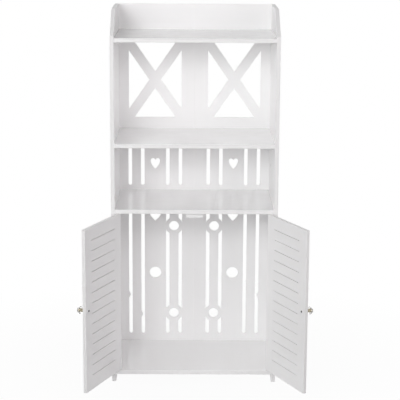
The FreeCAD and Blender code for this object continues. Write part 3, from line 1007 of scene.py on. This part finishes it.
@dataclass
class Knob:
    """A door's knob: turned brass base, cut clear cap and the screw behind.

    The outlines and the socket are in millimetres, as radius and height from the door.
    """

    side: Side
    facets: int = 16
    base_outline: tuple[tuple[float, float], ...] = (
        (8.0, 0.0), (8.0, 0.9), (7.6, 1.4), (6.4, 1.9), (5.1, 2.5), (4.3, 3.4), (4.0, 4.8),
        (4.0, 5.8), (4.4, 6.2), (4.4, 6.8), (4.0, 7.2), (4.0, 8.2), (4.4, 9.0), (5.3, 10.0),
        (5.5, 10.8), (5.5, 11.5), (3.9, 11.5), (3.9, 20.5))
    cap_outline: tuple[tuple[float, float, float], ...] = (
        (6.25, 11.5, 0.0), (9.2, 14.4, 0.5), (11.25, 17.0, 0.0), (11.25, 19.0, 0.0),
        (9.3, 22.4, 0.5), (6.5, 25.0, 0.0))
    socket_radius: float = 3.87
    socket_depth: float = 8.97
    screw_head_radius: float = 3.3 * MM
    screw_head_height: float = 1.0 * MM
    screw_radius: float = 2.0 * MM
    screw_length: float = 16.0 * MM
    screw_smooth_angle: float = 35.0
    base_segments: int = 64
    base_smooth_angle: float = 40.0
    parts: dict[str, bpy.types.Object] = field(default_factory=dict)

    def axis(self, nodes: dict[str, bpy.types.Object]) -> Axis:
        """The knob's axis, from the door's outer face outwards.

        Args:
            nodes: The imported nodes, by name.

        Returns:
            The axis.
        """
        base = places_of(nodes[self.side.word + "_knob_base"])
        middle = centre_of(base)
        along = (centre_of(places_of(nodes[self.side.word + "_knob_cap"])) - middle).normalized()
        seat = min((place - middle).dot(along) for place in base)
        return Axis(middle + along * seat, along)

    def _facet_ring(self, built: bmesh.types.BMesh, radius: float, height: float,
                    shift: float) -> list[Any]:
        """One ring of the cap's corners, in millimetres, turned by a share of a facet."""
        turn = 2 * math.pi / self.facets
        return [built.verts.new((radius * MM * math.cos(turn * (step + shift)),
                                 radius * MM * math.sin(turn * (step + shift)),
                                 height * MM)) for step in range(self.facets)]

    def _draw_cap(self, built: bmesh.types.BMesh) -> None:
        """Adds the cap, whose rings alternate by half a facet so that its facets are cut.

        Args:
            built: The mesh to add to.
        """
        rings = [self._facet_ring(built, *ring) for ring in self.cap_outline]
        shifts = [shift for _, _, shift in self.cap_outline]
        for place, (lower, upper) in enumerate(zip(rings, rings[1:])):
            self._band(built, lower, upper, shifts[place + 1] - shifts[place])
        built.faces.new(rings[-1])
        seat = self.cap_outline[0][1]
        mouth = self._facet_ring(built, self.socket_radius, seat, 0.0)
        end = self._facet_ring(built, self.socket_radius, seat + self.socket_depth, 0.0)
        self._band(built, rings[0], mouth, 0.0)
        self._band(built, mouth, end, 0.0)
        built.faces.new(end)

    def _band(self, built: bmesh.types.BMesh, lower: list[Any], upper: list[Any],
              shift: float) -> None:
        """Joins two rings by facets.

        Args:
            built: The mesh to add to.
            lower: The first ring.
            upper: The second ring.
            shift: How much further round the second ring starts, in facets.
        """
        for step in range(self.facets):
            after = (step + 1) % self.facets
            if shift == 0:
                built.faces.new((lower[step], lower[after], upper[after], upper[step]))
            elif shift > 0:
                built.faces.new((lower[step], lower[after], upper[step]))
                built.faces.new((lower[after], upper[after], upper[step]))
            else:
                built.faces.new((lower[step], upper[after], upper[step]))
                built.faces.new((lower[step], lower[after], upper[after]))

    def _inner_face(self, axis: Axis, screw: list[Vector]) -> float:
        """How deep the door's inner face lies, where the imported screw's head rests on it.

        Args:
            axis: The knob's axis.
            screw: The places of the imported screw.

        Returns:
            The depth behind the door's outer face.
        """
        depths = []
        for place in screw:
            depth = (place - axis.start).dot(-axis.along)
            aside = (place - axis.start + axis.along * depth).length
            if aside > (self.screw_head_radius + self.screw_radius) / 2:
                depths.append(depth)
        return min(depths)

    def _add(self, name: str, mesh: bpy.types.Mesh, finish: bpy.types.Material, node: str) -> None:
        """Puts one part of the knob on its door.

        Args:
            name: The object's name.
            mesh: Its mesh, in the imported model's frame.
            finish: Its material.
            node: The node that it stands for.
        """
        piece = new_object(f"{self.side.word}_{name}", mesh)
        dress(piece, finish)
        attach(piece, self.side.body)
        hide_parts(f"{self.side.word}_{node}")
        self.parts[name] = piece

    def build(self, nodes: dict[str, bpy.types.Object], finishes: Finishes) -> None:
        """Builds the knob's three parts.

        Args:
            nodes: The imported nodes, by name.
            finishes: The cabinet's materials.
        """
        axis = self.axis(nodes)
        outline = tuple((radius * MM, height * MM) for radius, height in self.base_outline)
        base = mesh_from("knob_base", Turning(outline, self.base_segments).draw)
        smooth_below(base, self.base_smooth_angle)
        base.transform(axis.matrix())
        self._add("knob_turning", base, finishes.brass, "knob_base")
        cap = mesh_from("knob_cap", self._draw_cap)
        cap.transform(axis.matrix())
        self._add("knob_crystal", cap, finishes.acrylic, "knob_cap")
        screw = mesh_from("knob_screw", CrossHeadScrew(
            Head.DOMED, self.screw_head_radius, self.screw_head_height, self.screw_radius,
            self.screw_length + self.screw_head_height).draw)
        smooth_below(screw, self.screw_smooth_angle)
        face = self._inner_face(axis, places_of(nodes[self.side.word + "_knob_screw"]))
        top = axis.start - axis.along * (face + self.screw_head_height)
        screw.transform(Axis(top, -axis.along).matrix())
        self._add("knob_screw_head", screw, finishes.dark_steel, "knob_screw")
        LOG.info("%s knob: %d parts", self.side.word, len(self.parts))


@dataclass
class Catch:
    """The magnetic catch's housing, with its moulded edges rounded."""

    edge_radius: float = 0.6 * MM
    edge_steps: int = 3
    edge_roundness: float = 0.5
    least_run: float = 3.0
    flat_angle: float = 1.0
    sharp_angle: float = 30.0

    def build(self, nodes: dict[str, bpy.types.Object], finishes: Finishes) -> None:
        """Rounds a copy of the housing and puts it in its place.

        Args:
            nodes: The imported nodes, by name.
            finishes: The cabinet's materials.
        """
        mesh = nodes["catch_housing"].data.copy()
        built = bmesh.new()
        built.from_mesh(mesh)
        bmesh.ops.remove_doubles(built, verts=built.verts, dist=SAME_PLACE)
        bmesh.ops.dissolve_limit(built, angle_limit=math.radians(self.flat_angle),
                                 verts=built.verts, edges=built.edges)
        sharp = [edge for edge in built.edges
                 if edge.calc_face_angle(0) > math.radians(self.sharp_angle)
                 and edge.calc_length() > self.least_run * self.edge_radius]
        bmesh.ops.bevel(built, geom=sharp, offset=self.edge_radius, segments=self.edge_steps,
                        affect="EDGES", profile=self.edge_roundness, clamp_overlap=True)
        built.to_mesh(mesh)
        built.free()
        piece = new_object("catch_body", mesh)
        dress(piece, finishes.catch_plastic)
        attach(piece, CARCASS)
        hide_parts("catch_housing")
        LOG.info("catch: housing rounded")


@dataclass(frozen=True)
class Lamp:
    """A square soft light: its place, the length of its sides, its watts and its colour."""

    name: str
    place: Place
    size: float
    power: float
    colour: Colour = WHITE

    def hang(self, target: Vector) -> None:
        """Puts the light in the scene.

        Args:
            target: What it faces.
        """
        light = bpy.data.lights.new(self.name, "AREA")
        light.size = self.size
        light.energy = self.power
        light.color = self.colour
        lamp = bpy.data.objects.new(self.name, light)
        lamp.location = self.place
        lamp.rotation_euler = (target - Vector(self.place)).to_track_quat("-Z", "Y").to_euler()
        bpy.context.scene.collection.objects.link(lamp)


@dataclass
class Studio:
    """Pale floor, soft lights, white surroundings and the camera."""

    lens: float = 123.91
    sensor: float = 36.0
    eye: Place = (-0.011596, -4.323569, 1.451654)
    pitch: float = 0.2158
    yaw: float = 0.007
    roll: float = 0.0058
    floor_reach: float = 7.0
    floor_colour: Colour = (0.40, 0.40, 0.40)
    floor_shadow_share: float = 0.05
    floor_shadow_reach: float = 1.0
    floor_shadow_front: float = 0.15
    surround: Colour = (1.0, 0.985, 0.99)
    surround_strength: float = 0.085
    lamps: tuple[Lamp, ...] = (
        Lamp("front_left", (-1.2, -4.6, 2.0), 1.5, 60.3),
        Lamp("high_right", (1.0, -4.4, 3.0), 1.5, 17.2),
        Lamp("high_left", (-2.6, -2.2, 3.8), 1.5, 21.8),
        Lamp("left", (-2.6, -3.2, 1.2), 2.5, 47.2),
        Lamp("right", (2.6, -3.2, 1.2), 2.5, 49.1, (1.0, 0.955, 0.97)),
        Lamp("rear_left", (-2.4, 2.6, 1.6), 2.0, 29.7),
        Lamp("rear_right", (2.4, 2.6, 1.6), 2.0, 24.8))
    lit_place: Place = (0.0, -0.15, 0.6)

    def build(self) -> None:
        """Makes the floor, the lights and the camera."""
        self._surroundings()
        self._floor()
        for lamp in self.lamps:
            lamp.hang(Vector(self.lit_place))
        self._camera()
        LOG.info("studio: ready")

    def _surroundings(self) -> None:
        """White to the eye and in reflections, and softer as a light."""
        tree = WorldTree("surroundings")
        light = tree.node("ShaderNodeBackground", {},
                          {"Color": self.surround, "Strength": self.surround_strength})
        white = tree.node("ShaderNodeBackground", {}, {"Color": WHITE})
        bpy.context.scene.world = tree.white_where_seen(light, white)

    def _floor(self) -> None:
        """A pale floor that shows white and keeps a faint shadow."""
        reach = self.floor_reach
        mesh = bpy.data.meshes.new("studio_floor")
        corners = [(-reach, -reach, 0), (reach, -reach, 0), (reach, reach, 0), (-reach, reach, 0)]
        mesh.from_pydata(corners, [], [(0, 1, 2, 3)])
        floor = new_object("studio_floor", mesh)
        tree = ShaderTree("studio_floor")
        span = self.floor_shadow_reach
        local = tree.node("ShaderNodeMapping", {}, {
            "Vector": tree.object_place(),
            "Location": (0.0, self.floor_shadow_front / span, 0.0),
            "Scale": (1 / span, 1 / span, 1 / span)})
        near = tree.node("ShaderNodeTexGradient", {"gradient_type": "SPHERICAL"},
                         {"Vector": Value(tree, local.outputs["Vector"])})
        kept = Value(tree, near.outputs[1]) * self.floor_shadow_share
        plain = tree.node("ShaderNodeBsdfDiffuse", {}, {"Color": self.floor_colour})
        white = tree.node("ShaderNodeEmission", {}, {"Color": WHITE})
        dress(floor, tree.white_where_seen(plain, white, 1.0 - kept))

    def _camera(self) -> None:
        """The camera that took the photograph's view."""
        data = bpy.data.cameras.new("view")
        data.sensor_width = self.sensor
        data.lens = self.lens
        camera = bpy.data.objects.new("view", data)
        forward = Vector((math.sin(self.yaw) * math.cos(self.pitch),
                          math.cos(self.yaw) * math.cos(self.pitch), -math.sin(self.pitch)))
        level = Vector((math.cos(self.yaw), -math.sin(self.yaw), 0.0))
        up = level.cross(forward)
        right = level * math.cos(self.roll) + up * math.sin(self.roll)
        above = up * math.cos(self.roll) - level * math.sin(self.roll)
        turn = Matrix((right, above, -forward)).transposed()
        camera.matrix_world = Matrix.Translation(self.eye) @ turn.to_4x4()
        bpy.context.scene.collection.objects.link(camera)
        bpy.context.scene.camera = camera


def main() -> None:
    """Builds the cabinet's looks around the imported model."""
    logging.basicConfig(level=logging.INFO, format="%(name)s: %(message)s")
    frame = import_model()
    nodes = frame["nodes"]
    finishes = Finishes()
    scatter = Scatter()
    Boards().build(nodes)
    Fittings(finishes).build(nodes)
    ScrewCaps().build(nodes, scatter, finishes)
    BackScrews().build(nodes, scatter, finishes)
    for side in Side:
        Knob(side).build(nodes, finishes)
    Catch().build(nodes, finishes)
    Studio().build()
    bpy.context.scene.view_settings.view_transform = "Standard"


if __name__ == "__main__":
    main()
